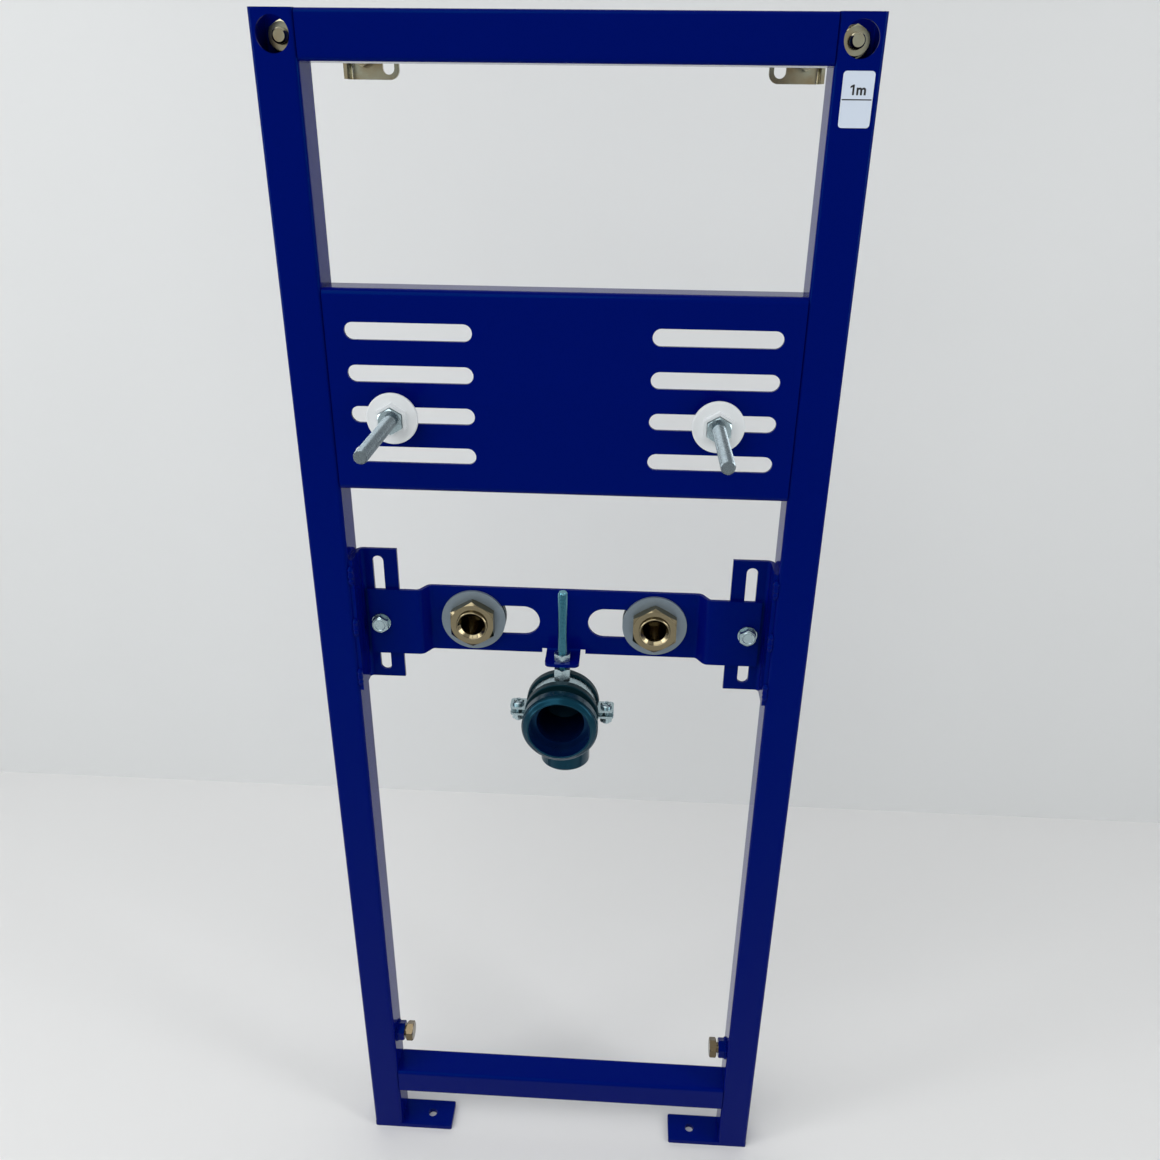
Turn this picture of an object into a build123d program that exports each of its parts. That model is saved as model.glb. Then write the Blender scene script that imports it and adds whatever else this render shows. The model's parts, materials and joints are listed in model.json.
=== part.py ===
"""Installation frame for a wall-hung basin: a welded tube frame on two telescopic legs.

A slotted plate carries the two basin studs. Below it an adjustable traverse holds two tap
connectors and, on a threaded rod, the clamp of a drain elbow. Two threaded rods with
brackets tie the top of the frame back to the wall.

X runs to the right along the frame, Y away from the viewer and Z up. The origin lies on the
underside of the left foot plate, on the axis of the left upright. Lengths are in millimetres.
"""
import os
from math import cos, radians, tan

from build123d import *

# Welded frame of square tube
frame_width = 400.0
frame_height = 1055.0
tube = 30.0
tube_wall = 2.0
tube_bend = 1.0
bottom_rail_height = 56.0

# Telescopic legs, foot plates and the bolts that clamp the legs
leg_wall = 2.0
leg_bend = 0.5
leg_length = 355.0
leg_play = 0.5
foot_length = 83.0
foot_thickness = 5.0
foot_corner = 2.0
foot_hole = 9.0
foot_hole_reach = 45.0
clamp_height = 131.0
clamp_head_height = 7.0
clamp_head_gap = 2.0
clamp_tip_gap = 0.3

# Metric fasteners: thread, its pitch diameter, width across flats, nut height, washer
m10 = 10.0
m10_pitch = 9.0
m10_flats = 17.0
m10_nut = 8.0
m10_washer = 20.0
m10_washer_thickness = 2.0
m8 = 8.0
m8_flats = 13.0
m8_nut = 6.5
m8_washer = 16.0
m8_washer_thickness = 1.6
m8_head = 5.3
thread_play = 0.2
hole_play = 1.0
thread_lead = 1.2

# Rods and brackets that tie the frame to the wall
rod_drop = 15.0
access_hole = 22.0
rod_front_reach = 6.0
wall_gap = 203.0
bracket_width = 44.0
bracket_height = 34.0
bracket_rise = 15.0
bracket_gauge = 3.0
bracket_bend = 2.0
bracket_flange = 14.0
bracket_corner = 8.0
bracket_slot_length = 26.0
bracket_slot_width = 10.0
bracket_slot_inset = 4.0

# Slotted plate and the basin studs
plate_drop = 171.0
plate_height = 150.0
plate_depth = 25.0
plate_gauge = 2.5
plate_bend = 2.5
slot_end_margin = 14.0
slot_divide = 128.0
slot_play = 2.5
slot_rows = 4
slot_pitch = 30.5
stud_row = 2
left_stud_inset = 32.7
right_stud_inset = 42.3
stud_front_reach = 100.0
stud_back_reach = 20.0
collar_diameter = 38.0
collar_flange = 2.5
collar_edge = 1.0
collar_pocket = 5.0
collar_pocket_play = 0.6
collar_pocket_wall = 2.0

# Angles welded to the uprights, and the traverse that slides on them
angle_drop = 60.5
angle_height = 120.0
angle_width = 33.0
angle_setback = 2.0
angle_gauge = 3.0
angle_bend = 3.0
angle_slot_length = 107.5
angle_slot_width = 9.0
angle_slot_reach = 17.0
slide_gap = 0.2
traverse_offset = -5.5
traverse_height = 60.0
traverse_gauge = 3.0
traverse_bend = 3.0
traverse_end_gap = 1.0
tab_length = 43.0
joggle_depth = 11.0
joggle_run = 6.5
bolt_end = 4.0

# Tap connectors
tap_joggle_gap = 10.0
tap_slot_width = 27.0
tap_slot_divide = 41.0
tap_slot_outward = 18.5
tap_neck_play = 0.8
tap_bore = 19.0
tap_bore_chamfer = 2.0
tap_neck_reach = 2.0
tap_nut_wall = 4.8
tap_nut_height = 9.0
tap_washer = 54.0
tap_washer_thickness = 2.5
tap_seal_thickness = 6.0
tap_flange = 40.0
tap_flange_thickness = 4.0
tap_wall = 3.5
tap_bend = 15.0
tap_back_reach = 2.0
tap_drop = 22.0
tap_collar_wall = 2.0
tap_collar_height = 14.0

# Shelf at the foot of the traverse, and the rod of the pipe clamp
shelf_width = 29.0
shelf_reach = 24.8
shelf_corner = 5.0
shelf_bend = 2.0
relief_width = 4.0
relief_height = 4.0
drain_rod_setback = 15.8
drain_rod_rise = 66.0
clamp_gap = 16.5
clamp_boss_height = 12.0
clamp_boss_engagement = 9.0

# Pipe clamp
band_width = 20.0
band_gauge = 2.0
lining_thickness = 4.8
lining_lip = 3.3
lining_rise = 0.4
lining_play = 0.1
ear_length = 15.0
ear_gap = 4.0
ear_width = 15.0
ear_corner = 3.0
clamp_screw = 6.0
clamp_screw_reach = 8.5
clamp_screw_flats = 10.0
clamp_screw_head = 10.0
clamp_screw_head_height = 3.0
clamp_screw_nut = 6.0
clamp_screw_end = 2.0

# Drain elbow
pipe_diameter = 45.0
pipe_wall = 2.2
socket_step = 3.2
socket_depth = 13.5
lip_wall = 1.4
lip_edge = 0.6
bead_length = 15.0
bead_rise = 6.4
bead_front = 5.0
bead_back = 3.0
neck_length = 4.0
socket_front_reach = 35.5
clamp_clearance = 1.3
elbow_bend = 30.0
elbow_drop = 52.0
spigot_chamfer = 1.0

# Reference lines of the frame
front = -tube / 2
back = tube / 2
upright_spacing = frame_width - tube
middle = upright_spacing / 2
clear_width = upright_spacing - tube
mid_plane = Plane.YZ.offset(middle)
leg_tube = tube - 2 * tube_wall - 2 * leg_play
rod_height = frame_height - rod_drop
wall = back + wall_gap
plate_top = frame_height - plate_drop
plate_centre = plate_top - plate_height / 2
slot_width = m10 + slot_play
slot_outer_end = tube / 2 + slot_end_margin
slot_length = middle - slot_divide / 2 - slot_outer_end
slot_spacing = slot_length + slot_divide
stud_height = plate_centre + (slot_rows / 2 - 0.5 - stud_row) * slot_pitch
angle_top = plate_top - plate_height - angle_drop
angle_centre = angle_top - angle_height / 2
traverse_height_centre = angle_centre + traverse_offset
traverse_foot = traverse_height_centre - traverse_height / 2
bolt_x = tube / 2 + angle_slot_reach
tab_back = back - angle_gauge - slide_gap
tab_front = tab_back - traverse_gauge
web_front = tab_front + joggle_depth
web_back = web_front + traverse_gauge
drain_rod_y = web_front - drain_rod_setback
pipe_radius = pipe_diameter / 2
lining_radius = pipe_radius + lining_play + lining_thickness
band_radius = lining_radius + lining_play + band_gauge
drain_axis = traverse_foot - clamp_gap - band_radius
socket_mouth = drain_rod_y - socket_front_reach
bend_start = drain_rod_y + band_width / 2 + lining_lip + clamp_clearance
spigot_y = bend_start + elbow_bend

pieces = {}


def keep(name, builder):
    """Label a finished piece and put it on the list of pieces to write."""
    builder.part.label = name
    pieces[name] = builder


def keep_pair(name, builder):
    """Keep a piece of the left side and its mirror image on the right side."""
    with BuildPart() as right:
        mirror(builder.part, about=mid_plane)
    keep(f"left_{name}", builder)
    keep(f"right_{name}", right)


def keep_both(name, builder):
    """Keep the fasteners of the left side and their mirror images as one piece."""
    with BuildPart() as both:
        add(builder.part)
        mirror(builder.part, about=mid_plane)
    keep(name, both)


def facing_front(x, y, z):
    """Plane at a point with its normal towards the viewer and its second axis up."""
    return Plane(origin=(x, y, z), x_dir=(1, 0, 0), z_dir=(0, -1, 0))


def facing_back(x, y, z):
    """Plane at a point with its normal towards the wall and its second axis up."""
    return Plane(origin=(x, y, z), x_dir=(-1, 0, 0), z_dir=(0, 1, 0))


def facing_inward(x, y, z):
    """Plane at a point with its normal along the frame, from the left upright to the right."""
    return Plane(origin=(x, y, z), x_dir=(0, 1, 0), z_dir=(1, 0, 0))


def facing_up(x, y, z):
    """Level plane at a point."""
    return Plane.XY.move(Location((x, y, z)))


def square_tube(plane, side, wall_thickness, bend, length):
    """Square tube with rounded corners, drawn on a plane and extruded along its normal."""
    inner = side - 2 * wall_thickness
    with BuildPart() as piece:
        with BuildSketch(plane):
            RectangleRounded(side, side, bend + wall_thickness)
            RectangleRounded(inner, inner, bend, mode=Mode.SUBTRACT)
        extrude(amount=length)
    return piece


def hex_prism(flats, height, bore):
    """Hexagonal body standing on the origin, chamfered at both ends and bored."""
    corner = flats / 2 / cos(radians(30))
    slope = (corner - flats / 2) * tan(radians(30))
    with BuildPart() as piece:
        with BuildSketch():
            RegularPolygon(flats / 2, 6, major_radius=False, rotation=30)
        extrude(amount=height)
        with BuildSketch(Plane.XZ):
            with BuildLine():
                Polyline(
                    (0, 0),
                    (flats / 2, 0),
                    (corner, slope),
                    (corner, height - slope),
                    (flats / 2, height),
                    (0, height),
                    close=True,
                )
            make_face()
        revolve(axis=Axis.Z, mode=Mode.INTERSECT)
        if bore:
            with Locations((0, 0, height)):
                Hole(bore / 2, height)
    return piece.part


def ring(outer, bore, thickness):
    """Flat ring standing on the origin."""
    with BuildPart() as piece:
        with BuildSketch():
            Circle(outer / 2)
            Circle(bore / 2, mode=Mode.SUBTRACT)
        extrude(amount=thickness)
    return piece.part


def threaded_bar(diameter, length):
    """Bar standing on the origin with the lead chamfer of a thread at both ends."""
    with BuildPart() as piece:
        with BuildSketch():
            Circle(diameter / 2)
        extrude(amount=length)
        chamfer(piece.edges().filter_by(GeomType.CIRCLE), thread_lead)
    return piece.part


def placed(part, *planes):
    """Copies of a part standing on the given planes, as one piece."""
    with BuildPart() as piece:
        with Locations(*planes):
            add(part)
    return piece


m10_nut_part = hex_prism(m10_flats, m10_nut, m10 + thread_play)
m10_washer_part = ring(m10_washer, m10 + hole_play, m10_washer_thickness)
m8_nut_part = hex_prism(m8_flats, m8_nut, m8 + thread_play)
m8_washer_part = ring(m8_washer, m8 + hole_play, m8_washer_thickness)

# Uprights: access hole in front, rod hole behind it and bolt hole in the inner side
foot_of_upright = facing_up(0, 0, foot_thickness)
upright = square_tube(foot_of_upright, tube, tube_wall, tube_bend, frame_height - foot_thickness)
with upright:
    with Locations(facing_front(0, front, rod_height)):
        Hole(access_hole / 2, tube / 2)
    with Locations(facing_back(0, back, rod_height)):
        Hole((m10 + hole_play) / 2, tube / 2)
    with Locations(facing_inward(tube / 2, 0, clamp_height)):
        Hole((m10 + hole_play) / 2, tube / 2)
keep_pair("upright", upright)

# Rails between the uprights
for rail_name, rail_centre in (
    ("top_rail", frame_height - tube / 2),
    ("bottom_rail", bottom_rail_height + tube / 2),
):
    rail_end = facing_inward(tube / 2, 0, rail_centre)
    keep(rail_name, square_tube(rail_end, tube, tube_wall, tube_bend, clear_width))

# Telescopic leg inside the upright, welded on its foot plate
keep_pair("leg_tube", square_tube(foot_of_upright, leg_tube, leg_wall, leg_bend, leg_length))
with BuildPart() as foot_plate:
    with BuildSketch():
        with Locations((foot_length / 2 - tube / 2, 0)):
            RectangleRounded(foot_length, tube, foot_corner)
        with Locations((foot_hole_reach, 0)):
            Circle(foot_hole / 2, mode=Mode.SUBTRACT)
    extrude(amount=foot_thickness)
keep_pair("foot_plate", foot_plate)

# Nut welded on the inner side of the upright, and the bolt that clamps the leg
clamp_seat = facing_inward(tube / 2, 0, clamp_height)
keep_both("clamp_nuts", placed(m10_nut_part, clamp_seat))
clamp_shank = tube / 2 + m10_nut + clamp_head_gap - leg_tube / 2 - clamp_tip_gap
clamp_head_part = hex_prism(m10_flats, clamp_head_height, 0)
with BuildPart() as clamp_bolt:
    with Locations(facing_inward(leg_tube / 2 + clamp_tip_gap, 0, clamp_height)):
        add(threaded_bar(m10, clamp_shank + clamp_head_height / 2))
    with Locations(clamp_seat.offset(m10_nut + clamp_head_gap)):
        add(clamp_head_part)
keep_both("clamp_bolts", clamp_bolt)

# Wall rods: nuts and washers on both sides of the upright's back wall and at the bracket
back_wall = back - tube_wall
rod_front = back_wall - m10_washer_thickness - m10_nut - rod_front_reach
wall_rod_part = threaded_bar(m10, wall - rod_front)
keep_pair("wall_rod", placed(wall_rod_part, facing_back(0, rod_front, rod_height)))
bracket_front = wall - bracket_gauge
washer_seats = (
    facing_front(0, back_wall, rod_height),
    facing_back(0, back, rod_height),
    facing_front(0, bracket_front, rod_height),
)
keep_both("rod_washers", placed(m10_washer_part, *washer_seats))
nut_seats = [seat.offset(m10_washer_thickness) for seat in washer_seats]
keep_both("rod_nuts", placed(m10_nut_part, *nut_seats))

# Wall bracket: plate with an outer flange, a rod hole and an upright slot for the wall screw
bracket_outer = -tube / 2 + bracket_gauge / 2
bracket_inner = bracket_width - tube / 2
bracket_middle = wall - bracket_gauge / 2
bracket_foot = rod_height + bracket_rise - bracket_height
slot_x = bracket_inner - bracket_slot_inset - bracket_slot_width / 2
with BuildPart() as wall_bracket:
    with BuildSketch(Plane.XY.offset(bracket_foot)):
        with BuildLine():
            FilletPolyline(
                (bracket_outer, bracket_front - bracket_flange),
                (bracket_outer, bracket_middle),
                (bracket_inner, bracket_middle),
                radius=bracket_bend + bracket_gauge / 2,
            )
        trace(line_width=bracket_gauge)
    extrude(amount=bracket_height)
    fillet(wall_bracket.edges().filter_by(Axis.Y).group_by(Axis.X)[-1], bracket_corner)
    with BuildSketch(facing_back(slot_x, wall, bracket_foot + bracket_height / 2)):
        SlotOverall(bracket_slot_length, bracket_slot_width, rotation=90)
    extrude(amount=-2 * bracket_gauge, mode=Mode.SUBTRACT)
    with Locations(facing_back(0, wall, rod_height)):
        Hole((m10 + thread_play) / 2, 2 * bracket_gauge)
keep_pair("wall_bracket", wall_bracket)

# Slotted plate: a shallow channel with its flanges bent back
plate_middle = front + plate_gauge / 2
with BuildPart() as cross_plate:
    with BuildSketch(facing_inward(tube / 2, 0, plate_centre)):
        with BuildLine():
            FilletPolyline(
                (front + plate_depth, plate_height / 2 - plate_gauge / 2),
                (plate_middle, plate_height / 2 - plate_gauge / 2),
                (plate_middle, plate_gauge / 2 - plate_height / 2),
                (front + plate_depth, plate_gauge / 2 - plate_height / 2),
                radius=plate_bend + plate_gauge / 2,
            )
        trace(line_width=plate_gauge)
    extrude(amount=clear_width)
    with BuildSketch(facing_front(middle, front, plate_centre)):
        with GridLocations(slot_spacing, slot_pitch, 2, slot_rows):
            SlotOverall(slot_length, slot_width)
    extrude(amount=-2 * plate_gauge, mode=Mode.SUBTRACT)
keep("cross_plate", cross_plate)

# Basin studs: a lock nut, a plastic collar with a pocket for the front nut, a washer and a nut behind.
# Between the outer faces of its nuts a stud is drawn at the pitch diameter of the thread.
pocket_flats = m10_flats + collar_pocket_play
with BuildPart() as stud_collar:
    with BuildSketch():
        Circle(collar_diameter / 2)
    extrude(amount=collar_flange)
    fillet(stud_collar.edges().filter_by(GeomType.CIRCLE).sort_by(Axis.Z)[-1], collar_edge)
    with BuildSketch(Plane.XY.offset(collar_flange)):
        RegularPolygon(pocket_flats / 2 + collar_pocket_wall, 6, major_radius=False, rotation=30)
    extrude(amount=collar_pocket)
    fillet(stud_collar.edges().filter_by(Axis.Z).group_by(Axis.Z)[-1], collar_edge)
    with BuildSketch(Plane.XY.offset(collar_flange)):
        RegularPolygon(pocket_flats / 2, 6, major_radius=False, rotation=30)
    extrude(amount=collar_pocket, mode=Mode.SUBTRACT)
    Hole((m10 + thread_play) / 2)
plate_back = front + plate_gauge
collar_seat = front - m10_nut
front_nut = collar_seat - collar_flange
back_nut = plate_back + m10_washer_thickness
grip_end = front + stud_back_reach - back_nut - m10_nut
grip_length = back_nut - front_nut + 2 * m10_nut
with BuildPart() as stud:
    add(threaded_bar(m10, stud_front_reach + stud_back_reach))
    with BuildSketch(Plane.XY.offset(grip_end)):
        Circle(m10)
        Circle(m10_pitch / 2, mode=Mode.SUBTRACT)
    extrude(amount=grip_length, mode=Mode.SUBTRACT)
stud_nut_part = hex_prism(m10_flats, m10_nut, m10_pitch + thread_play)
stud_places = {
    "left": slot_outer_end + left_stud_inset,
    "right": upright_spacing - slot_outer_end - right_stud_inset,
}
for side, stud_x in stud_places.items():
    stud_end = facing_front(stud_x, front + stud_back_reach, stud_height)
    keep(f"{side}_basin_stud", placed(stud.part, stud_end))
    keep(f"{side}_stud_collar", placed(stud_collar.part, facing_front(stud_x, collar_seat, stud_height)))
stud_nut_seats = [facing_front(stud_x, front, stud_height) for stud_x in stud_places.values()]
stud_nut_seats += [facing_front(stud_x, front_nut, stud_height) for stud_x in stud_places.values()]
stud_nut_seats += [facing_back(stud_x, back_nut, stud_height) for stud_x in stud_places.values()]
keep("stud_nuts", placed(stud_nut_part, *stud_nut_seats))
stud_washer_seats = [facing_back(stud_x, plate_back, stud_height) for stud_x in stud_places.values()]
keep("stud_washers", placed(m10_washer_part, *stud_washer_seats))

# Angles on the inner sides of the uprights, with a long upright slot
with BuildPart() as fitting_angle:
    with BuildSketch(Plane.XY.offset(angle_top - angle_height)):
        with BuildLine():
            FilletPolyline(
                (tube / 2 + angle_gauge / 2, front + angle_setback),
                (tube / 2 + angle_gauge / 2, back - angle_gauge / 2),
                (tube / 2 + angle_width, back - angle_gauge / 2),
                radius=angle_bend + angle_gauge / 2,
            )
        trace(line_width=angle_gauge)
    extrude(amount=angle_height)
    with BuildSketch(facing_back(bolt_x, back, angle_centre)):
        SlotOverall(angle_slot_length, angle_slot_width, rotation=90)
    extrude(amount=-2 * angle_gauge, mode=Mode.SUBTRACT)
keep_pair("fitting_angle", fitting_angle)

# Traverse: a joggled strip with two long slots and a shelf bent forward at its foot
tab_end = tube / 2 + angle_gauge + angle_bend + traverse_end_gap
tab_middle = tab_front + traverse_gauge / 2
web_middle = web_front + traverse_gauge / 2
joggle_start = tab_end + tab_length
joggle_end = joggle_start + joggle_run
far = upright_spacing
shelf_middle = traverse_foot + traverse_gauge / 2
shelf_root = traverse_gauge + shelf_bend + relief_height
relief_x = shelf_width / 2 + relief_width / 2
tap_x = joggle_end + tap_joggle_gap + tap_washer / 2
tap_slot_length = middle - tap_slot_divide / 2 - tap_x + tap_slot_outward
tap_slot_spacing = tap_slot_length + tap_slot_divide
with BuildPart() as tap_traverse:
    with BuildSketch(Plane.XY.offset(traverse_foot)):
        with BuildLine():
            FilletPolyline(
                (tab_end, tab_middle),
                (joggle_start, tab_middle),
                (joggle_end, web_middle),
                (far - joggle_end, web_middle),
                (far - joggle_start, tab_middle),
                (far - tab_end, tab_middle),
                radius=traverse_bend + traverse_gauge / 2,
            )
        trace(line_width=traverse_gauge)
    extrude(amount=traverse_height)
    with BuildSketch(facing_front(middle, web_back, traverse_foot)):
        with Locations((-relief_x, relief_height / 2), (relief_x, relief_height / 2)):
            Rectangle(relief_width, relief_height)
        Rectangle(shelf_width, 2 * shelf_root)
    extrude(amount=traverse_gauge, mode=Mode.SUBTRACT)
    with BuildSketch(facing_inward(middle - shelf_width / 2, 0, 0)):
        with BuildLine():
            FilletPolyline(
                (web_middle, traverse_foot + shelf_root),
                (web_middle, shelf_middle),
                (web_front - shelf_reach, shelf_middle),
                radius=shelf_bend + traverse_gauge / 2,
            )
        trace(line_width=traverse_gauge)
    extrude(amount=shelf_width)
    fillet(tap_traverse.edges().filter_by(Axis.Z).group_by(Axis.Y)[0], shelf_corner)
    with Locations(facing_up(middle, drain_rod_y, traverse_foot + traverse_gauge)):
        Hole((m8 + hole_play) / 2, traverse_gauge)
    with BuildSketch(facing_front(middle, web_front, traverse_height_centre)):
        with GridLocations(tap_slot_spacing, tap_slot_width, 2, 1):
            SlotOverall(tap_slot_length, tap_slot_width)
    extrude(amount=-2 * traverse_gauge, mode=Mode.SUBTRACT)
    for hole_x in (bolt_x, far - bolt_x):
        with Locations(facing_front(hole_x, tab_front, traverse_height_centre)):
            Hole((m8 + hole_play) / 2, traverse_gauge)
keep("tap_traverse", tap_traverse)

# Bolts that clamp the traverse to the angles
bolt_head_part = hex_prism(m8_flats, m8_head, 0)
nut_seat = back + slide_gap
bolt_length = nut_seat + m8_washer_thickness + m8_nut + bolt_end - tab_front + m8_washer_thickness
head_seat = facing_front(bolt_x, tab_front - m8_washer_thickness, traverse_height_centre)
with BuildPart() as traverse_bolt:
    with Locations(facing_back(bolt_x, tab_front - m8_washer_thickness, traverse_height_centre)):
        Cylinder(m8 / 2, bolt_length, align=(Align.CENTER, Align.CENTER, Align.MIN))
    chamfer(traverse_bolt.edges().filter_by(GeomType.CIRCLE).sort_by(Axis.Y)[-1], thread_lead)
    with Locations(head_seat):
        add(bolt_head_part)
keep_both("traverse_bolts", traverse_bolt)
bolt_washer_seats = (
    facing_front(bolt_x, tab_front, traverse_height_centre),
    facing_back(bolt_x, nut_seat, traverse_height_centre),
)
keep_both("bolt_washers", placed(m8_washer_part, *bolt_washer_seats))
bolt_nut_seat = bolt_washer_seats[1].offset(m8_washer_thickness)
keep_both("bolt_nuts", placed(m8_nut_part, bolt_nut_seat))

# Tap connectors: elbow with a long neck, clamped in the slot by a nut, a washer and a rubber ring
tap_neck = tap_slot_width - tap_neck_play
tap_fit = tap_neck + thread_play
tap_nut_flats = tap_fit + 2 * tap_nut_wall
tap_height = traverse_height_centre
neck_front = web_front - tap_washer_thickness - tap_nut_height - tap_neck_reach
tap_flange_seat = web_back + tap_seal_thickness
tap_body = tap_bore + 2 * tap_wall
tap_turn = tap_flange_seat + tap_flange_thickness + tap_back_reach
tap_outlet = tap_height - tap_bend - tap_drop
tap_collar = tap_body + 2 * tap_collar_wall
tap_nut_seat = facing_front(tap_x, web_front - tap_washer_thickness, tap_height)
neck_plane = facing_back(tap_x, neck_front, tap_height)
with BuildPart() as tap_elbow:
    with BuildSketch(neck_plane):
        Circle(tap_neck / 2)
    extrude(amount=tap_flange_seat - neck_front)
    with BuildSketch(facing_back(tap_x, tap_flange_seat, tap_height)):
        Circle(tap_flange / 2)
    extrude(amount=tap_flange_thickness)
    with BuildSketch(facing_up(tap_x, tap_turn + tap_bend, tap_outlet)):
        Circle(tap_collar / 2)
    extrude(amount=tap_collar_height)
    with BuildLine() as tap_route:
        Line((tap_x, neck_front, tap_height), (tap_x, tap_turn, tap_height))
        TangentArc(
            (tap_x, tap_turn, tap_height),
            (tap_x, tap_turn + tap_bend, tap_height - tap_bend),
            tangent=(0, 1, 0),
        )
        Line((tap_x, tap_turn + tap_bend, tap_height - tap_bend), (tap_x, tap_turn + tap_bend, tap_outlet))
    with BuildSketch(neck_plane):
        Circle(tap_body / 2)
    sweep(path=tap_route.wires()[0])
    with BuildSketch(neck_plane):
        Circle(tap_bore / 2)
    sweep(path=tap_route.wires()[0], mode=Mode.SUBTRACT)
    chamfer(
        tap_elbow.edges().filter_by(GeomType.CIRCLE).group_by(Axis.Y)[0].sort_by(SortBy.RADIUS)[0],
        tap_bore_chamfer,
    )
keep_pair("tap_elbow", tap_elbow)
tap_nut_part = hex_prism(tap_nut_flats, tap_nut_height, tap_fit)
keep_pair("tap_nut", placed(tap_nut_part, tap_nut_seat))
tap_washer_part = ring(tap_washer, tap_fit, tap_washer_thickness)
keep_pair("tap_washer", placed(tap_washer_part, facing_front(tap_x, web_front, tap_height)))
tap_seal_part = ring(tap_washer, tap_fit, tap_seal_thickness)
keep_pair("tap_seal", placed(tap_seal_part, facing_back(tap_x, web_back, tap_height)))

# Threaded rod on the shelf, with a nut above it
rod_foot = drain_axis + band_radius + clamp_boss_height - clamp_boss_engagement
drain_rod_part = threaded_bar(m8, traverse_foot + drain_rod_rise - rod_foot)
keep("drain_rod", placed(drain_rod_part, facing_up(middle, drain_rod_y, rod_foot)))
shelf_top = facing_up(middle, drain_rod_y, traverse_foot + traverse_gauge)
keep("drain_rod_nut", placed(m8_nut_part, shelf_top))

# Two halves of the pipe clamp; the upper one carries the welded boss for the rod and the lower one
# the welded nuts for the screws
clamp_plane = facing_front(middle, drain_rod_y + band_width / 2, drain_axis)
ear_place = band_radius + clamp_screw_reach
boss_part = hex_prism(m8_flats, clamp_boss_height + band_gauge / 2, m8 + thread_play)
screw_nut_part = hex_prism(clamp_screw_flats, clamp_screw_nut, clamp_screw + thread_play)
for half, up in (("upper", 1), ("lower", -1)):
    ear_middle = drain_axis + up * (ear_gap + band_gauge) / 2
    with BuildPart() as clamp_half:
        with BuildSketch(clamp_plane):
            Circle(band_radius)
            with Locations((0, up * (ear_gap / 2 + band_radius))):
                Rectangle(2 * band_radius, 2 * band_radius, mode=Mode.INTERSECT)
            Circle(band_radius - band_gauge, mode=Mode.SUBTRACT)
        extrude(amount=band_width)
        with BuildSketch(facing_up(middle, drain_rod_y, ear_middle)):
            RectangleRounded(2 * (band_radius + ear_length), ear_width, ear_corner)
            Rectangle(2 * band_radius - band_gauge, ear_width, mode=Mode.SUBTRACT)
            with Locations((-ear_place, 0), (ear_place, 0)):
                Circle((clamp_screw + thread_play) / 2, mode=Mode.SUBTRACT)
        extrude(amount=band_gauge / 2, both=True)
        if up > 0:
            with Locations(facing_up(middle, drain_rod_y, drain_axis + band_radius - band_gauge / 2)):
                add(boss_part)
        else:
            nut_top = facing_up(middle, drain_rod_y, ear_middle - band_gauge / 2 - clamp_screw_nut)
            with Locations(nut_top):
                with Locations((-ear_place, 0), (ear_place, 0)):
                    add(screw_nut_part)
    keep(f"pipe_clamp_{half}", clamp_half)

# Rubber lining between the clamp and the pipe, with a lip along each edge of the band
lining_start = drain_rod_y - band_width / 2 - lining_lip
lining_line = Axis((middle, lining_start, drain_axis), (0, 1, 0))
lining_depth = band_width + 2 * lining_lip
with BuildPart() as pipe_clamp_lining:
    with BuildSketch(Plane(origin=(middle, lining_start, drain_axis), x_dir=(0, 1, 0), z_dir=(1, 0, 0))):
        with BuildLine():
            Polyline(
                (0, pipe_radius + lining_play),
                (0, band_radius + lining_rise),
                (lining_lip - lining_play, band_radius + lining_rise),
                (lining_lip - lining_play, lining_radius),
                (lining_depth - lining_lip + lining_play, lining_radius),
                (lining_depth - lining_lip + lining_play, band_radius + lining_rise),
                (lining_depth, band_radius + lining_rise),
                (lining_depth, pipe_radius + lining_play),
                close=True,
            )
        make_face()
    revolve(axis=lining_line)
keep("pipe_clamp_lining", pipe_clamp_lining)

# Screws through the ears of the clamp
with BuildPart() as clamp_screw_shape:
    Cylinder(
        clamp_screw / 2,
        ear_gap + 2 * band_gauge + clamp_screw_nut + clamp_screw_end,
        align=(Align.CENTER, Align.CENTER, Align.MAX),
    )
    Cylinder(
        clamp_screw_head / 2,
        clamp_screw_head_height,
        align=(Align.CENTER, Align.CENTER, Align.MIN),
    )
    head_rim = clamp_screw_shape.edges().filter_by(GeomType.CIRCLE).sort_by(Axis.Z)[-1]
    fillet(head_rim, clamp_screw_head_height / 2)
ear_top = drain_axis + ear_gap / 2 + band_gauge
screw_seats = [facing_up(middle + hand * ear_place, drain_rod_y, ear_top) for hand in (-1, 1)]
keep("pipe_clamp_screws", placed(clamp_screw_shape.part, *screw_seats))

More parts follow.
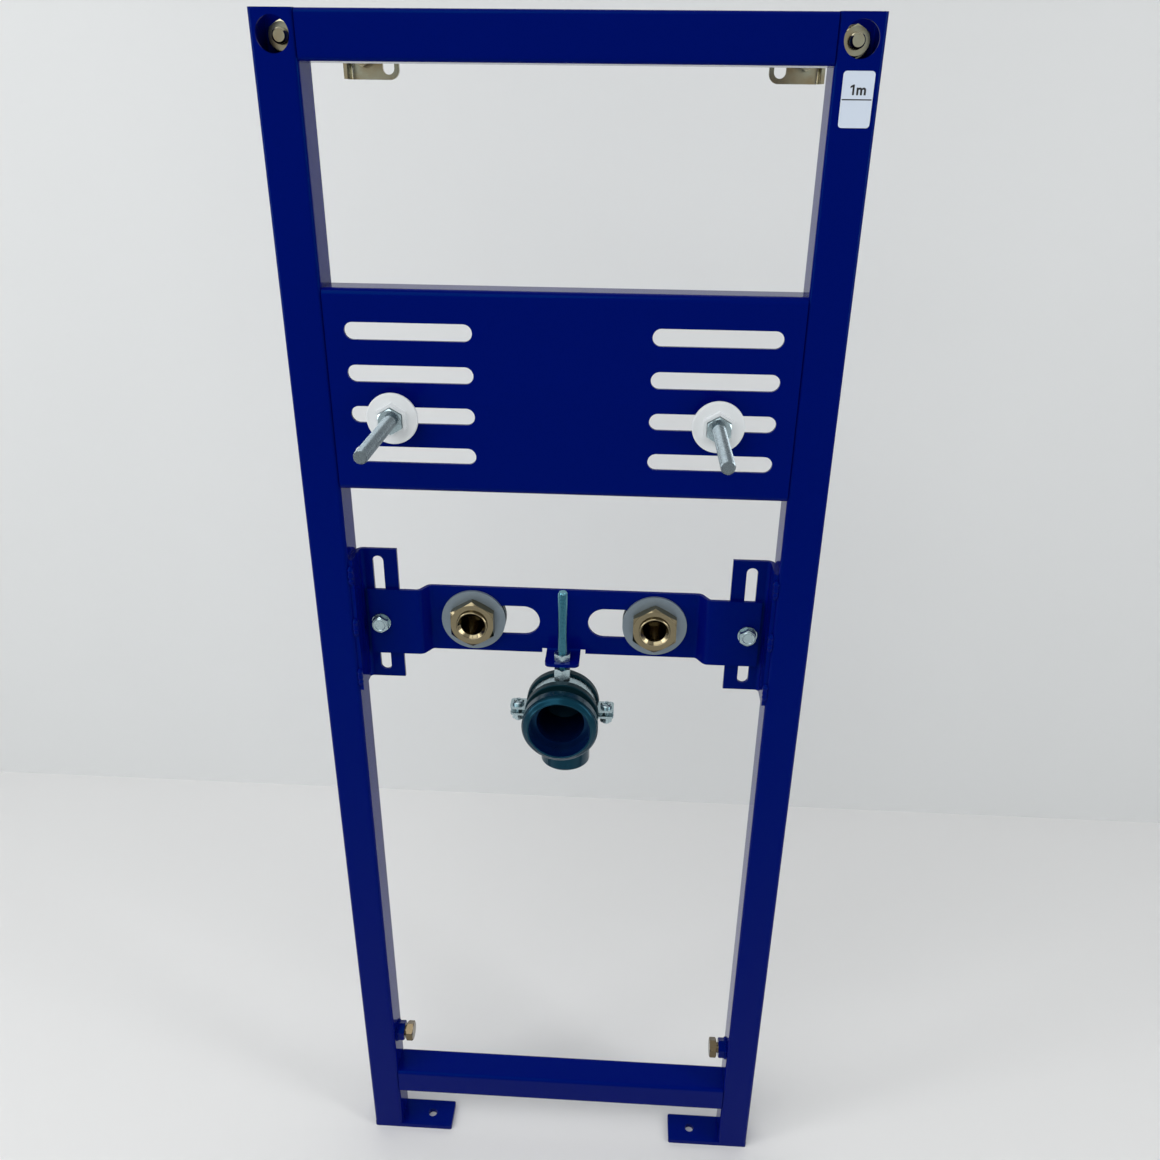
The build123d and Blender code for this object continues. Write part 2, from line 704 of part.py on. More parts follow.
# Drain elbow: a socket with a swollen rim, then a pipe that bends down to a spigot
socket_radius = pipe_radius + socket_step
bead_radius = socket_radius + bead_rise
socket_plane = Plane(origin=(middle, socket_mouth, drain_axis), x_dir=(0, 1, 0), z_dir=(1, 0, 0))
socket_line = Axis((middle, socket_mouth, drain_axis), (0, 1, 0))
with BuildPart() as drain_elbow:
    with BuildSketch(socket_plane):
        with BuildLine():
            Line((0, 0), (0, socket_radius + lip_wall))
            Spline(
                (0, socket_radius + lip_wall),
                (bead_front, bead_radius - lip_edge),
                tangents=((1, 1), (1, 0)),
            )
            Polyline(
                (bead_front, bead_radius - lip_edge),
                (bead_front, bead_radius),
                (bead_length - bead_back, bead_radius),
                (bead_length, socket_radius + pipe_wall),
                (bead_length + neck_length, pipe_radius),
                (bead_length + neck_length, 0),
                (0, 0),
            )
        make_face()
    revolve(axis=socket_line)
    with BuildLine() as drain_route:
        Line((middle, socket_mouth, drain_axis), (middle, bend_start, drain_axis))
        TangentArc(
            (middle, bend_start, drain_axis),
            (middle, spigot_y, drain_axis - elbow_bend),
            tangent=(0, 1, 0),
        )
        Line(
            (middle, spigot_y, drain_axis - elbow_bend),
            (middle, spigot_y, drain_axis - elbow_bend - elbow_drop),
        )
    with BuildSketch(facing_back(middle, socket_mouth, drain_axis)):
        Circle(pipe_radius)
    sweep(path=drain_route.wires()[0])
    with BuildSketch(facing_back(middle, socket_mouth, drain_axis)):
        Circle(pipe_radius - pipe_wall)
    sweep(path=drain_route.wires()[0], mode=Mode.SUBTRACT)
    with BuildSketch(facing_back(middle, socket_mouth, drain_axis)):
        Circle(socket_radius)
    extrude(amount=socket_depth, mode=Mode.SUBTRACT)
    mouth_edges = drain_elbow.edges().filter_by(GeomType.CIRCLE).group_by(Axis.Y)[0]
    fillet(mouth_edges.sort_by(SortBy.RADIUS)[0], lip_edge)
    spigot_end = drain_elbow.edges().filter_by(GeomType.CIRCLE).group_by(Axis.Z)[0]
    chamfer(spigot_end.sort_by(SortBy.RADIUS)[-1], min(spigot_chamfer, pipe_wall / 2))
keep("drain_elbow", drain_elbow)

os.makedirs("parts", exist_ok=True)
for piece_name, piece_builder in pieces.items():
    export_step(piece_builder.part, f"parts/{piece_name}.step")
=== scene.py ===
"""Finish of the basin installation frame: paint, plating, threads, welds and the height mark.

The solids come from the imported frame. This script adds what is too fine for them, gives each
piece its finish, and sets the floor, the lamps and the camera. Lengths are in metres.
"""
import json
from math import cos, pi, radians, sin, tau

import bmesh
import bpy
from bpy.props import FloatProperty, FloatVectorProperty, IntProperty, PointerProperty, StringProperty
from mathutils import Matrix, Vector


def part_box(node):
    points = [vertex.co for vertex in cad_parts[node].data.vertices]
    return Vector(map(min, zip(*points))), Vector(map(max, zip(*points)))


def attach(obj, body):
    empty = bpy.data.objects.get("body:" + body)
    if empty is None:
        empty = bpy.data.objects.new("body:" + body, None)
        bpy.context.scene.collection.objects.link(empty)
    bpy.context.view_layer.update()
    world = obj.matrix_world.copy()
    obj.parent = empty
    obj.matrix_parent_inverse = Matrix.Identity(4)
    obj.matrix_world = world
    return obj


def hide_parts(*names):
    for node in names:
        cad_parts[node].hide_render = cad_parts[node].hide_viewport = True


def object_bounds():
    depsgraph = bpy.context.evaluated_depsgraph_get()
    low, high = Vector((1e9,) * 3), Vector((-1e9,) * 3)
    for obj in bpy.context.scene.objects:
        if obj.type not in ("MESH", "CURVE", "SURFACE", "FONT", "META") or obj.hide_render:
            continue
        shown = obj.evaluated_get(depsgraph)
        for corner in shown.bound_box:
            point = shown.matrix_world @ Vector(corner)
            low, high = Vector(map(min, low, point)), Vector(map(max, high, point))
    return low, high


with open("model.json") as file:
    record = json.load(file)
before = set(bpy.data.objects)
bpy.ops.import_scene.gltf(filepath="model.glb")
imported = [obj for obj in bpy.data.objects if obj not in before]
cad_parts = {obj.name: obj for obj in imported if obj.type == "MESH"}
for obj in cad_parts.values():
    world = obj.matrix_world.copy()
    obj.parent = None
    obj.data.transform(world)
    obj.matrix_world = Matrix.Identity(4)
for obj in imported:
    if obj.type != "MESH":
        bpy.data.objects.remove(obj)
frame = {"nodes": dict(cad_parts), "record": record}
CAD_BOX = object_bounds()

bl_info = {
    "name": "Basin Frame Finish",
    "version": (1, 0, 0),
    "blender": (4, 5, 0),
    "location": "3D View > Sidebar > Basin Frame",
    "description": "Paint, plating, threads, welds and height mark of a basin installation frame",
    "category": "Object",
}

PLATE_LOW, PLATE_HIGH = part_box("cross_plate")
MIDDLE = (PLATE_LOW.x + PLATE_HIGH.x) / 2
MARK_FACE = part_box("right_upright")[0].y

# Each finish: name of its material, value of its colour, roughness, share of metal
FINISHES = {
    "blue_paint": ("blue_powder_coat", "paint", 0.12, 0.0),
    "bright_zinc": ("bright_zinc_plate", "zinc", 0.28, 1.0),
    "stud": ("stud_zinc_plate", "stud", 0.26, 1.0),
    "rod": ("blue_zinc_plate", "rod", 0.2, 1.0),
    "yellow_zinc": ("yellow_zinc_plate", "yellow_zinc", 0.22, 1.0),
    "clamp_bolt": ("brown_zinc_plate", "clamp_bolt", 0.22, 1.0),
    "brass": ("machined_brass", "brass", 0.13, 1.0),
    "washer": ("dull_plate", "washer", 0.45, 0.4),
    "white_plastic": ("white_collar_plastic", "collar", 0.35, 0.0),
    "drain_plastic": ("dark_drain_plastic", "drain", 0.22, 0.0),
    "black_rubber": ("lining_rubber", "rubber", 0.42, 0.0),
    "mark": ("mark_film", "mark", 0.4, 0.0),
    "ink": ("mark_ink", "ink", 0.5, 0.0),
}
# Nodes whose finish isn't that of their slot
OWN_FINISHES = {"left_tap_washer": "washer", "right_tap_washer": "washer", "clamp_bolts": "clamp_bolt"}
# Tint and level of the reflections of paint, plastic and rubber
SHEENS = {
    "blue_paint": ("paint_sheen", 0.08),
    "drain_plastic": ("drain_sheen", 0.5),
    "black_rubber": ("drain_sheen", 0.2),
}
# Fine unevenness: scale, depth and strength
GRAINS = {
    "blue_paint": (420.0, 0.0002, 0.05),
    "bright_zinc": (420.0, 0.0003, 0.4),
    "drain_plastic": (700.0, 0.0001, 0.04),
    "black_rubber": (900.0, 0.0001, 0.15),
}
# Uneven polish: scale, least and greatest roughness
WEARS = {
    "bright_zinc": (260.0, 0.18, 0.32),
    "stud": (260.0, 0.2, 0.34),
    "brass": (180.0, 0.09, 0.18),
    "washer": (300.0, 0.38, 0.55),
}
CAST_SCALE = 60.0
CAST_EDGES = (0.38, 0.62)
WEAR_EDGES = (0.3, 0.7)
NOISE_DETAIL = 2.0
CREASE = radians(30)

# Points closer than this become one, on rings and in small print
RING_MERGE = 1e-6
FINE_MERGE = 1e-7

# Thread, in shares of its pitch, and how far the ends of a bar taper
THREAD_DEPTH = 0.6
CREST_START = -0.58
CREST_END = -0.42
THREAD_MERGE = 0.02
LEAD_TAPER = 0.84

# Rims, in shares of their width and rise
RING_STEPS = 96
RIM_CROWN = 0.25
RIM_SHOULDER = 0.5
RIM_FOOT = 0.2
LIP_SOFTNESS = 0.35

# Drops of weld metal. Places are shares of the radius of the bead.
DROP_ROUNDNESS = 2
BEAD_DROPS = 8
BEAD_SWELL = 0.1
BEAD_WAVE = 2.4
BEAD_END = 0.86
BEAD_OFFSET = 0.45
BEAD_PROUD = 0.1
NUT_DROPS = 24
NUT_SWELL = 0.12
NUT_WAVE = 2.7
NUT_OFFSET = 0.4
NUT_INSET = 0.3

# Clamp screws: sizes in metres, then shares of the radius and rise of the head
SCREW_RISE = 0.003
SCREW_SHANK = 0.003
SCREW_SIDES = 24
SCREW_TURN = 0.5
CROWN_RADIUS = 0.62
CROWN_FLARE = 1.32
CROWN_DROP = 0.12
SHOULDER_DROP = 0.30
RIM_DROP = 0.58
CROSS_TAPER = 0.7

# Height mark: shares of the width and thickness of the film, then of the height of the figure
CORNER_STEPS = 6
LINE_WIDTH = 0.94
LINE_DEPTH = 0.5
LETTER_DEPTH = 0.25
FIGURE = ((0.28, 0), (0.48, 0), (0.48, 1), (0.34, 1), (0.05, 0.84), (0.05, 0.65), (0.28, 0.77))
FIGURE_SHIFT = 0.83
UNIT_SIZE = 1.39
UNIT_WEIGHT = 0.045
UNIT_LEFT = -0.16
UNIT_RISE = 0.04

# Each lamp: name, place, width, height, value of its power
LAMPS = (
    ("key_lamp", (MIDDLE - 0.9, -1.5, 2.5), 2.0, 2.0, "key_power"),
    ("left_lamp", (MIDDLE - 1.5, -0.7, 1.1), 0.4, 1.2, "side_power"),
    ("right_lamp", (MIDDLE + 1.5, -0.7, 1.1), 0.4, 1.2, "side_power"),
)
LAMP_AIM = Vector((MIDDLE, 0.0, 0.55))
# Along each axis of the room, where the daylight is dim and where it is bright
DAYLIGHT_EDGES = (("Y", -0.75, 0.1), ("Z", 0.35, 0.75))
DAYLIGHT_TONE = (0.97, 0.985, 1.0, 1.0)
SHEET_ROUGHNESS = 0.6
SENSOR_WIDTH = 36.0
NEAREST_VIEW = 0.01


def length(name, description, default):
    """Length in metres."""
    return FloatProperty(name=name, description=description, default=default, unit="LENGTH", precision=5)


def angle(name, description, degrees):
    """Angle that is given in degrees."""
    return FloatProperty(name=name, description=description, default=radians(degrees), subtype="ANGLE")


def amount(name, description, default, unit="NONE"):
    """Plain number, or one with a unit."""
    return FloatProperty(name=name, description=description, default=default, unit=unit)


def point(name, description, default):
    """Place in metres."""
    return FloatVectorProperty(
        name=name, description=description, default=default, subtype="TRANSLATION", unit="LENGTH"
    )


def colour(name, description, default):
    """Colour of the bare surface, scene-linear."""
    return FloatVectorProperty(
        name=name, description=description, default=default, subtype="COLOR", size=3, min=0.0, max=1.0
    )


class BasinFrameSizes(bpy.types.PropertyGroup):
    """Sizes of the pieces that are finished here."""

    stud_pitch: length("Stud pitch", "Rise of one turn on the studs and wall rods", 0.0015)
    rod_pitch: length("Rod pitch", "Rise of one turn on the rod of the pipe clamp", 0.00125)
    thread_play: length("Thread play", "How far a crest stays inside the solid bar", 0.00005)
    thread_lead: length("Thread lead", "Chamfer at the ends of a threaded bar", 0.0012)
    thread_steps: IntProperty(
        name="Thread steps", description="Flats in one turn of a thread", default=20, min=8, max=48
    )
    weld_radius: length("Weld radius", "Half the width of a weld bead", 0.0023)
    weld_length: length("Weld length", "Length of a weld bead on a fitting angle", 0.013)
    nut_weld_radius: length("Nut weld radius", "Half the width of the weld round a clamp nut", 0.0014)
    screw_cross: length("Screw cross", "Length of the cross in the heads of the clamp screws", 0.0052)
    screw_cross_width: length("Screw cross width", "Width of the cross in the screw heads", 0.0012)
    screw_cross_depth: length("Screw cross depth", "Depth of the cross in the screw heads", 0.0016)
    lip_radius: length("Lip radius", "Radius on which the rubber lips lie on the pipe clamp", 0.0298)
    lip_rise: length("Lip rise", "Thickness of the rubber lips on the pipe clamp", 0.0018)
    lip_width: length("Lip width", "How far a rubber lip folds over the band of the pipe clamp", 0.0042)
    lip_overhang: length("Lip overhang", "How far a rubber lip stands out beside the band", 0.0034)
    rim_rise: length("Rim rise", "How far the rims of bolt heads and tap necks are raised", 0.0006)
    head_rim_inner: length("Head rim inner", "Inner radius of the rim of an indented bolt head", 0.0042)
    head_rim_outer: length("Head rim outer", "Outer radius of the rim of an indented bolt head", 0.0060)
    neck_rim_inner: length("Neck rim inner", "Inner radius of the rim of a tap neck", 0.0116)
    neck_rim_outer: length("Neck rim outer", "Outer radius of the rim of a tap neck", 0.0129)
    socket_radius: length("Socket radius", "Radius of the mouth of the drain elbow", 0.0258)
    socket_depth: length("Socket depth", "Depth of the mouth of the drain elbow", 0.0140)
    bore_radius: length("Bore radius", "Radius of the pipe behind the mouth of the drain elbow", 0.0207)
    bore_depth: length("Bore depth", "How far the pipe runs straight behind the mouth", 0.0600)
    mark_width: length("Mark width", "Width of the height mark", 0.0198)
    mark_height: length("Mark height", "Height of the height mark", 0.0325)
    mark_corner: length("Mark corner", "Corner radius of the height mark", 0.0022)
    mark_thickness: length("Mark thickness", "Thickness of the height mark", 0.0002)
    mark_line: length("Mark line", "Width of the line across the height mark", 0.0007)
    mark_letters: length("Mark letters", "Height of the figure on the height mark", 0.0060)
    mark_rise: length("Mark rise", "How far the letters stand above the line of the mark", 0.0026)
    mark_unit: StringProperty(
        name="Mark unit", description="Letter after the figure on the mark", default="m"
    )
    mark_place: point(
        "Mark place",
        "Centre of the height mark on the front of the right upright",
        (0.3710, MARK_FACE, 1.0063),
    )


class BasinFrameFinishes(bpy.types.PropertyGroup):
    """Colours of the finishes."""

    paint: colour("Paint", "Gloss blue powder coat of the frame", (0.0002, 0.0030, 0.127))
    paint_sheen: colour("Paint sheen", "Tint of the paint's reflections", (0.0, 0.55, 1.0))
    zinc: colour("Zinc", "Bright zinc plate of bolts, nuts and pipe clamp", (0.38, 0.48, 0.51))
    stud: colour("Stud", "Duller zinc plate of the basin studs", (0.19, 0.23, 0.25))
    rod: colour("Rod", "Blue passivated zinc of the rod of the pipe clamp", (0.13, 0.33, 0.40))
    yellow_zinc: colour("Yellow zinc", "Passivated zinc of rods and brackets", (0.39, 0.39, 0.29))
    yellow_zinc_cast: colour("Yellow zinc cast", "Second tone of the passivated zinc", (0.34, 0.28, 0.17))
    clamp_bolt: colour("Clamp bolt", "Brown passivated zinc of the legs' clamp bolts", (0.16, 0.125, 0.075))
    brass: colour("Brass", "Machined brass of the tap connectors", (0.23, 0.195, 0.12))
    washer: colour("Washer", "Dull plate of the large tap washers", (0.20, 0.25, 0.29))
    collar: colour("Collar", "White plastic of the stud collars", (0.77, 0.80, 0.81))
    drain: colour("Drain", "Dark plastic of the drain elbow", (0.002, 0.020, 0.034))
    drain_sheen: colour("Drain sheen", "Tint of reflections on drain elbow and rubber", (0.10, 0.50, 0.80))
    # Painted shade: colour painted over the inside of the drain elbow, darker than its plastic, where shade
    # falls
    drain_inside_shade: colour("Drain inside", "Unlit inside of the drain elbow", (0.0006, 0.0065, 0.045))
    rubber: colour("Rubber", "Black rubber of the lining and seals", (0.003, 0.015, 0.020))
    mark: colour("Mark", "White film of the height mark", (0.65, 0.73, 0.84))
    ink: colour("Ink", "Print on the height mark", (0.004, 0.004, 0.005))


class BasinFrameStage(bpy.types.PropertyGroup):
    """Floor, lamps and camera."""

    camera_place: point("Camera place", "Where the camera stands", (0.235515, -0.713179, 0.995389))
    camera_pitch: angle("Camera pitch", "How far the camera looks down", 25.338)
    camera_yaw: angle("Camera yaw", "How far the camera turns left", 2.913)
    camera_roll: angle("Camera roll", "How far the camera tilts sideways", 0.715)
    camera_lens: amount("Camera lens", "Focal length in millimetres", 30.442)
    floor_size: length("Floor size", "Half the width of the floor", 3.0)
    floor_front: length("Floor front", "How far the floor reaches in front of the frame", 2.2)
    wall_place: length("Wall place", "Where the pale wall stands behind the frame", CAD_BOX[1].y + 0.35)
    floor: colour("Floor", "Pale floor", (0.77, 0.77, 0.765))
    wall: colour("Wall", "Pale wall behind the frame", (0.77, 0.785, 0.785))
    backdrop: colour("Backdrop", "Background beyond the floor and the wall", (0.62, 0.63, 0.635))
    room: amount("Room", "Share of the daylight that comes from the front", 0.3)
    daylight: amount("Daylight", "Strength of the light from all round", 0.62)
    key_power: amount("Key lamp", "Power of the lamp overhead", 26.0, "POWER")
    side_power: amount("Side lamps", "Power of each tall side lamp", 8.0, "POWER")


def surface(name, tone, roughness, metal=0.0):
    """New material with a plain surface."""
    material = bpy.data.materials.new(name)
    material.use_nodes = True
    shader = material.node_tree.nodes["Principled BSDF"]
    shader.inputs["Base Color"].default_value = (*tone, 1.0)
    shader.inputs["Roughness"].default_value = roughness
    shader.inputs["Metallic"].default_value = metal
    return material


def speckle(material, scale):
    """Noise over the surface of a material."""
    tree = material.node_tree
    place = tree.nodes.new("ShaderNodeTexCoord")
    pattern = tree.nodes.new("ShaderNodeTexNoise")
    pattern.inputs["Scale"].default_value = scale
    pattern.inputs["Detail"].default_value = NOISE_DETAIL
    tree.links.new(place.outputs["Object"], pattern.inputs["Vector"])
    return pattern.outputs[0]


def add_sheen(material, tint, level):
    """Tint and level of a material's reflections."""
    shader = material.node_tree.nodes["Principled BSDF"]
    shader.inputs["Specular Tint"].default_value = (*tint, 1.0)
    shader.inputs["Specular IOR Level"].default_value = level


def add_grain(material, scale, depth, strength):
    """Fine unevenness of a surface."""
    tree = material.node_tree
    bump = tree.nodes.new("ShaderNodeBump")
    bump.inputs["Strength"].default_value = strength
    bump.inputs["Distance"].default_value = depth
    tree.links.new(speckle(material, scale), bump.inputs["Height"])
    tree.links.new(bump.outputs["Normal"], tree.nodes["Principled BSDF"].inputs["Normal"])


def add_cast(material, first, second):
    """Slow change between two tones."""
    tree = material.node_tree
    ramp = tree.nodes.new("ShaderNodeValToRGB")
    for stop, edge, tone in zip(ramp.color_ramp.elements, CAST_EDGES, (first, second)):
        stop.position = edge
        stop.color = (*tone, 1.0)
    tree.links.new(speckle(material, CAST_SCALE), ramp.inputs["Fac"])
    tree.links.new(ramp.outputs["Color"], tree.nodes["Principled BSDF"].inputs["Base Color"])


def add_wear(material, scale, least, greatest):
    """Uneven polish."""
    tree = material.node_tree
    spread = tree.nodes.new("ShaderNodeMapRange")
    spread.inputs["From Min"].default_value = WEAR_EDGES[0]
    spread.inputs["From Max"].default_value = WEAR_EDGES[1]
    spread.inputs["To Min"].default_value = least
    spread.inputs["To Max"].default_value = greatest
    tree.links.new(speckle(material, scale), spread.inputs["Value"])
    tree.links.new(spread.outputs["Result"], tree.nodes["Principled BSDF"].inputs["Roughness"])


def below(tree, value, limit):
    """One where a value is below a limit, and zero elsewhere."""
    test = tree.nodes.new("ShaderNodeMath")
    test.operation = "LESS_THAN"
    test.inputs[1].default_value = limit
    tree.links.new(value, test.inputs[0])
    return test.outputs[0]


def join(tree, operation, first, second):
    """Two values taken together."""
    both = tree.nodes.new("ShaderNodeMath")
    both.operation = operation
    tree.links.new(first, both.inputs[0])
    tree.links.new(second, both.inputs[1])
    return both.outputs[0]


def drain_axis():
    """Middle of the mouth of the drain elbow."""
    low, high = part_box("drain_elbow")
    return Vector(((low.x + high.x) / 2, low.y, high.z - (high.x - low.x) / 2))


def paint_inside_shade(material, sizes, outside, inside):
    """Painted shade inside the drain elbow: a darker colour over its mouth and the straight pipe behind it.
    """
    tree = material.node_tree
    mouth = drain_axis()
    place = tree.nodes.new("ShaderNodeTexCoord")
    axes = tree.nodes.new("ShaderNodeSeparateXYZ")
    tree.links.new(place.outputs["Object"], axes.inputs[0])
    flat = tree.nodes.new("ShaderNodeCombineXYZ")
    tree.links.new(axes.outputs["X"], flat.inputs["X"])
    tree.links.new(axes.outputs["Z"], flat.inputs["Z"])
    spread = tree.nodes.new("ShaderNodeVectorMath")
    spread.operation = "DISTANCE"
    spread.inputs[1].default_value = (mouth.x, 0, mouth.z)
    tree.links.new(flat.outputs[0], spread.inputs[0])
    away, back = spread.outputs["Value"], axes.outputs["Y"]
    # Masks of the painted shade: inside the mouth, and inside the straight pipe behind it
    shade_masks = [
        join(tree, "MULTIPLY", below(tree, away, radius), below(tree, back, mouth.y + depth))
        for radius, depth in (
            (sizes.socket_radius, sizes.socket_depth),
            (sizes.bore_radius, sizes.bore_depth),
        )
    ]
    tones = tree.nodes.new("ShaderNodeMixRGB")
    tones.inputs[1].default_value = (*outside, 1.0)
    tones.inputs[2].default_value = (*inside, 1.0)
    tree.links.new(join(tree, "MAXIMUM", *shade_masks), tones.inputs[0])
    tree.links.new(tones.outputs[0], tree.nodes["Principled BSDF"].inputs["Base Color"])


def make_finishes(tones, sizes):
    """Make the materials of all the finishes."""
    made = {}
    for name, (title, tone, roughness, metal) in FINISHES.items():
        made[name] = surface(title, getattr(tones, tone), roughness, metal)
    for name, (tint, level) in SHEENS.items():
        add_sheen(made[name], getattr(tones, tint), level)
    for name, grain in GRAINS.items():
        add_grain(made[name], *grain)
    for name, wear in WEARS.items():
        add_wear(made[name], *wear)
    add_cast(made["yellow_zinc"], tones.yellow_zinc, tones.yellow_zinc_cast)
    # Painted shade over the inside of the drain elbow's mouth and pipe
    paint_inside_shade(made["drain_plastic"], sizes, tones.drain, tones.drain_inside_shade)


def finish(name):
    """A material made by the operator of the finishes."""
    material = bpy.data.materials.get(FINISHES[name][0])
    if material is None:
        raise RuntimeError(f"the finish {name} is missing: apply the finishes first")
    return material


def keep_piece(name, shape, material, body):
    """Turn a finished bmesh into a piece that rides on a body."""
    mesh = bpy.data.meshes.new(name)
    shape.to_mesh(mesh)
    shape.free()
    mesh.shade_smooth()
    mesh.set_sharp_from_angle(angle=CREASE)
    mesh.materials.append(material)
    piece = bpy.data.objects.new(name, mesh)
    bpy.context.scene.collection.objects.link(piece)
    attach(piece, body)
    return piece


def points(geometry):
    """The points among some geometry."""
    return [item for item in geometry if isinstance(item, bmesh.types.BMVert)]


def whole(shape):
    """All the geometry of a shape."""
    return shape.verts[:] + shape.edges[:] + shape.faces[:]


def move(shape, matrix, verts=None):
    """Apply a matrix to a bmesh or to some of its vertices."""
    bmesh.ops.transform(shape, matrix=matrix, space=Matrix.Identity(4), verts=verts or shape.verts[:])


def thicken(shape, faces, rise):
    """Extrude faces and lift them."""
    raised = bmesh.ops.extrude_face_region(shape, geom=faces)["geom"]
    move(shape, Matrix.Translation((0, 0, rise)), points(raised))


def grow(shape, edges, scale, rise):
    """Extrude a level loop of edges, scale it about the upright axis and raise it."""
    made = bmesh.ops.extrude_edge_only(shape, edges=edges)["geom"]
    verts = points(made)
    loop = [item for item in made if isinstance(item, bmesh.types.BMEdge)]
    move(shape, Matrix.Translation((0, 0, rise)) @ Matrix.Diagonal((scale, scale, 1, 1)), verts)
    ring = set(verts)
    return [edge for edge in loop if edge.verts[0] in ring and edge.verts[1] in ring]


def threaded_bar(diameter, pitch, reach, lead, steps):
    """Bar along the upright axis from the origin, threaded between the leads at its two ends."""
    crest = diameter / 2
    root = crest - THREAD_DEPTH * pitch
    shape = bmesh.new()
    tooth = [
        shape.verts.new((root, 0, -pitch)),
        shape.verts.new((crest, 0, CREST_START * pitch)),
        shape.verts.new((crest, 0, CREST_END * pitch)),
        shape.verts.new((root, 0, 0)),
    ]
    flanks = [shape.edges.new(pair) for pair in zip(tooth, tooth[1:])]
    bmesh.ops.spin(
        shape,
        geom=tooth + flanks,
        axis=(0, 0, 1),
        cent=(0, 0, 0),
        dvec=(0, 0, pitch / steps),
        angle=tau,
        steps=steps,
    )
    turns = 1
    while turns * pitch < reach + pitch:
        twin = bmesh.ops.duplicate(shape, geom=whole(shape))["geom"]
        bmesh.ops.translate(shape, vec=(0, 0, turns * pitch), verts=points(twin))
        turns *= 2
    bmesh.ops.remove_doubles(shape, verts=shape.verts[:], dist=pitch * THREAD_MERGE)
    for cut, up in ((lead, -1), (reach - lead, 1)):
        bmesh.ops.bisect_plane(
            shape,
            geom=whole(shape),
            dist=FINE_MERGE,
            plane_co=(0, 0, cut),
            plane_no=(0, 0, up),
            clear_outer=True,
        )
    rims = [edge for edge in shape.edges if edge.is_boundary]
    for rise in (-lead, lead):
        rim = [edge for edge in rims if (edge.verts[0].co.z > reach / 2) == (rise > 0)]
        tip = grow(shape, rim, LEAD_TAPER, rise)
        bmesh.ops.edgeloop_fill(shape, edges=tip)
    bmesh.ops.recalc_face_normals(shape, faces=shape.faces[:])
    return shape


def cross_screw(sizes, head, reach):
    """Screw along the upright axis, with a cross in the top of its head at the origin."""
    crown = CROWN_RADIUS * head
    arm, width = sizes.screw_cross / 2, sizes.screw_cross_width / 2
    shape = bmesh.new()
    bmesh.ops.create_circle(shape, segments=SCREW_SIDES, radius=crown)
    rim = shape.edges[:]
    corners = [
        shape.verts.new((a * cos(turn) - b * sin(turn), a * sin(turn) + b * cos(turn), 0))
        for turn in (0, pi / 2, pi, 3 * pi / 2)
        for a, b in ((width, -width), (arm, -width), (arm, width))
    ]
    cross = [shape.edges.new(pair) for pair in zip(corners, corners[1:] + corners[:1])]
    bmesh.ops.triangle_fill(shape, use_beauty=True, edges=rim + cross)
    sunk = grow(shape, cross, CROSS_TAPER, -sizes.screw_cross_depth)
    bmesh.ops.edgeloop_fill(shape, edges=sunk)
    loop = rim
    for scale, drop in (
        (CROWN_FLARE, CROWN_DROP * SCREW_RISE),
        (head / (CROWN_FLARE * crown), SHOULDER_DROP * SCREW_RISE),
        (1.0, RIM_DROP * SCREW_RISE),
        (SCREW_SHANK / head, 0.0),
        (1.0, reach - SCREW_RISE),
    ):
        loop = grow(shape, loop, scale, -drop)
    bmesh.ops.edgeloop_fill(shape, edges=loop)
    bmesh.ops.recalc_face_normals(shape, faces=shape.faces[:])
    return shape


def add_ring(shape, outline, centre):
    """Ring about an axis from front to back. The outline gives radius and depth from the centre."""
    rim = [shape.verts.new(centre + Vector((radius, depth, 0))) for radius, depth in outline]
    sides = [shape.edges.new(pair) for pair in zip(rim, rim[1:] + rim[:1])]
    bmesh.ops.spin(
        shape,
        geom=rim + sides,
        axis=(0, 1, 0),
        cent=centre,
        dvec=(0, 0, 0),
        angle=tau,
        steps=RING_STEPS,
        use_merge=True,
    )


def close_rings(shape):
    """Join the seams of spun rings and turn their faces outward."""
    bmesh.ops.remove_doubles(shape, verts=shape.verts[:], dist=RING_MERGE)
    bmesh.ops.recalc_face_normals(shape, faces=shape.faces[:])


def add_rim(shape, inner, outer, rise, centre):
    """Rounded rim between two radii, raised towards the viewer."""
    crown = RIM_CROWN * (outer - inner)
    outline = (
        (inner, RIM_FOOT * rise),
        (inner, -RIM_SHOULDER * rise),
        (inner + crown, -rise),
        (outer - crown, -rise),
        (outer, -RIM_SHOULDER * rise),
        (outer, RIM_FOOT * rise),
    )
    add_ring(shape, outline, centre)


def add_drop(shape, spot, radius):
    """Round drop of weld metal."""
    place = Matrix.Translation(spot)
    bmesh.ops.create_icosphere(shape, subdivisions=DROP_ROUNDNESS, radius=radius, matrix=place)


def add_bead(shape, start, end, radius):
    """Row of overlapping drops of weld metal, smaller at both ends."""
    last = BEAD_DROPS - 1
    for drop in range(BEAD_DROPS):
        size = radius * (1 + BEAD_SWELL * sin(BEAD_WAVE * drop)) * (BEAD_END if drop in (0, last) else 1)
        add_drop(shape, start.lerp(end, drop / last), size)


class BASINFRAME_OT_apply_finishes(bpy.types.Operator):
    """Give every solid of the frame its paint, plating or plastic"""

    bl_idname = "basin_frame.apply_finishes"
    bl_label = "Apply Finishes"

    def execute(self, context):
        make_finishes(context.scene.basin_frame_finishes, context.scene.basin_frame_sizes)
        names = {part["node"]: part["material_slot"] for part in frame["record"]["subparts"]}
        names.update(OWN_FINISHES)
        for node, solid in frame["nodes"].items():
            solid.data.materials.clear()
            solid.data.materials.append(finish(names[node]))
        return {"FINISHED"}


